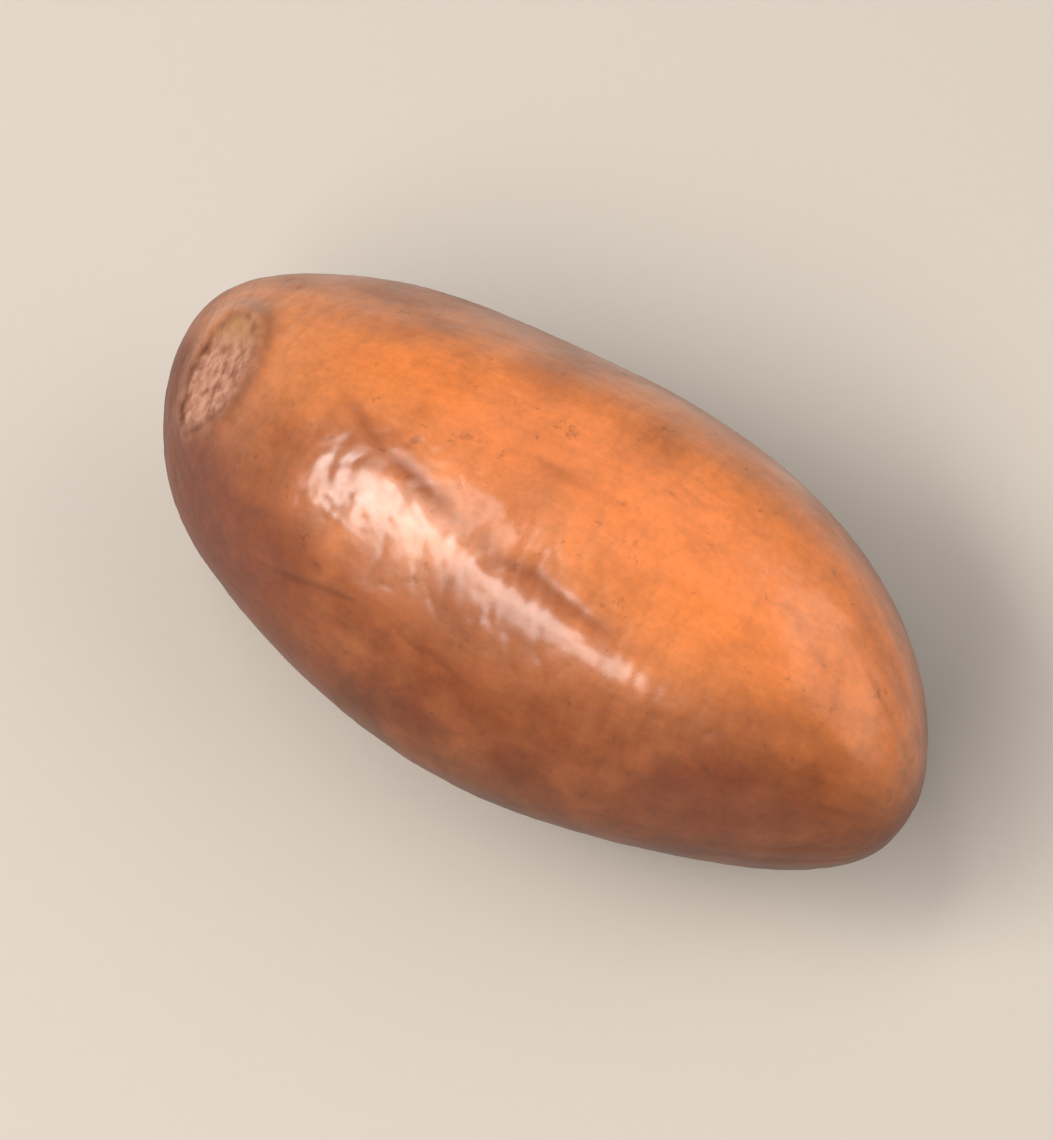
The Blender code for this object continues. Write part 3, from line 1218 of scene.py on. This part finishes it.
@dataclass(frozen=True)
class MattPaper:
    """The floor's finish: matt off-white paper, which takes soft shadows and no gloss."""

    name: str = "matt_paper"
    pale: str = "#cdc7bf"
    fibre: float = 0.35 * MM
    thin: float = 0.985  # how light the paper is between its fibres
    roughness: float = 0.9
    shine: float = 0.2

    def material(self) -> bpy.types.Material:
        """Builds the material: off-white, with the faint cloudiness of paper fibres.

        Returns:
            The material.
        """
        made = bpy.data.materials.new(self.name)
        made.use_nodes = True
        tree = made.node_tree
        shader = tree.nodes["Principled BSDF"]
        place = add_node(tree, "ShaderNodeTexCoord", {}).outputs["Object"]
        cloud = add_node(
            tree, "ShaderNodeTexNoise", {"Vector": place, "Scale": per_size(self.fibre), "Detail": 1.0}
        )
        level = add_node(
            tree, "ShaderNodeMapRange", {"Value": cloud.outputs["Fac"], "To Min": self.thin, "To Max": 1.0}
        )
        both = {0: linear(self.pale)[:3], 1: level.outputs[0]}
        tinted = add_node(tree, "ShaderNodeVectorMath", both, operation="MULTIPLY")
        tree.links.new(tinted.outputs[0], shader.inputs["Base Color"])
        shader.inputs["Roughness"].default_value = self.roughness
        shader.inputs["Specular IOR Level"].default_value = self.shine
        return made


class Lamp(Enum):
    """The studio's softboxes.

    Each holds its place in metres, its sides, the way its first side runs, its watts and its tint.
    """

    KEY = ((-0.0890, -0.1697, 0.2086), (0.312, 0.085), (0.803, -0.594, -0.061), 0.710, "#fff8f2")
    SIDE = ((-0.1480, -0.0760, 0.2260), (0.110, 0.165), (0.803, -0.594, -0.061), 0.220, "#fff4ec")
    BACK = ((0.040, 0.210, 0.266), (0.400, 0.360), (1.0, 0.0, 0.0), 0.165, "#f6f8ff")
    FILL = ((0.300, 0.150, 0.180), (0.400, 0.400), (0.0, 1.0, 0.0), 0.580, "#fff6ec")
    TOP = ((-0.0840, 0.0200, 0.2700), (0.120, 0.045), (0.284, -0.959, 0.060), 0.090, "#fff4ec")


@dataclass(frozen=True)
class Studio:
    """The plain studio: a pale paper sweep, five softboxes, even surroundings and the camera."""

    floor_flat: float = 0.22
    floor_reach: float = 0.60
    floor_rise: float = 0.48
    rings: int = 48
    crowding: float = 1.4  # over 1, the rings are closer together near the seed
    spokes: int = 96
    surroundings: str = "#e9ebee"
    surroundings_strength: float = 0.21
    finish: MattPaper = MattPaper()
    lens: float = 100.0
    azimuth: float = math.radians(28.5)
    elevation: float = math.radians(65.0)
    distance: float = 0.0675
    aim: Triple = (0.0, 0.0, 4.0 * MM)

    def floor(self) -> bpy.types.Object:
        """Makes the sweep: a turned surface, level to floor_flat, that then rises as the way out squared.

        Returns:
            The floor.
        """
        outward = self.floor_reach * np.linspace(0.0, 1.0, self.rings)[1:] ** self.crowding
        past = np.clip((outward - self.floor_flat) / (self.floor_reach - self.floor_flat), 0.0, 1.0)
        turn = np.linspace(0.0, 2.0 * math.pi, self.spokes, endpoint=False)
        height = np.repeat(self.floor_rise * past[:, None] ** 2, self.spokes, axis=1)
        level = (outward[:, None] * np.cos(turn), outward[:, None] * np.sin(turn))
        points = np.stack([*level, height], axis=-1).reshape(-1, 3)
        inner = np.arange((self.rings - 2) * self.spokes).reshape(self.rings - 2, self.spokes)
        beside = np.roll(inner, -1, axis=1)
        corners = (inner, inner + self.spokes, beside + self.spokes, beside)
        faces = np.stack(corners, axis=-1).reshape(-1, 4)
        mesh = bpy.data.meshes.new("paper_sweep")
        mesh.from_pydata(points.tolist(), [], [*faces.tolist(), list(range(self.spokes))], shade_flat=False)
        mesh.materials.append(self.finish.material())
        made = bpy.data.objects.new("paper_sweep", mesh)
        bpy.context.scene.collection.objects.link(made)
        return made

    def light(self) -> None:
        """Hangs the softboxes, each turned towards the seed, and sets the even surroundings."""
        for lamp in Lamp:
            place, sides, along, power, tint = lamp.value
            data = bpy.data.lights.new(f"{lamp.name.lower()}_softbox", "AREA")
            data.shape = "RECTANGLE"
            data.size, data.size_y = sides
            data.energy = power
            data.color = linear(tint)[:3]
            made = bpy.data.objects.new(data.name, data)
            made.location = place
            away = (Vector(place) - Vector(self.aim)).normalized()
            first = Vector(along)
            first = (first - first.dot(away) * away).normalized()
            made.rotation_euler = Matrix((first, away.cross(first), away)).transposed().to_euler()
            bpy.context.scene.collection.objects.link(made)
        world = bpy.data.worlds.new("surroundings")
        world.use_nodes = True
        background = world.node_tree.nodes["Background"]
        background.inputs["Color"].default_value = linear(self.surroundings)
        background.inputs["Strength"].default_value = self.surroundings_strength
        bpy.context.scene.world = world

    def camera(self) -> None:
        """Places the camera on the ray of its azimuth and elevation through the seed, looking down it."""
        data = bpy.data.cameras.new("camera")
        data.lens = self.lens
        data.clip_start = 1.0 * MM
        made = bpy.data.objects.new("camera", data)
        away = Vector((
            math.sin(self.azimuth) * math.cos(self.elevation),
            -math.cos(self.azimuth) * math.cos(self.elevation),
            math.sin(self.elevation),
        ))
        made.location = Vector(self.aim) + away * self.distance
        made.rotation_euler = (math.pi / 2.0 - self.elevation, 0.0, self.azimuth)
        bpy.context.scene.collection.objects.link(made)
        bpy.context.scene.camera = made


def main() -> None:
    """Builds the seed and the studio around it."""
    logging.basicConfig(level=logging.INFO, format="%(name)s: %(message)s")
    studio = Studio()
    studio.camera()
    seed = WholeSeed().build()
    log.info("%s: %d points, %d faces", seed.name, len(seed.data.vertices), len(seed.data.polygons))
    floor = studio.floor()
    log.info("%s: %d faces", floor.name, len(floor.data.polygons))
    studio.light()
    bpy.context.scene.view_settings.view_transform = "Standard"


if __name__ == "__main__":
    main()
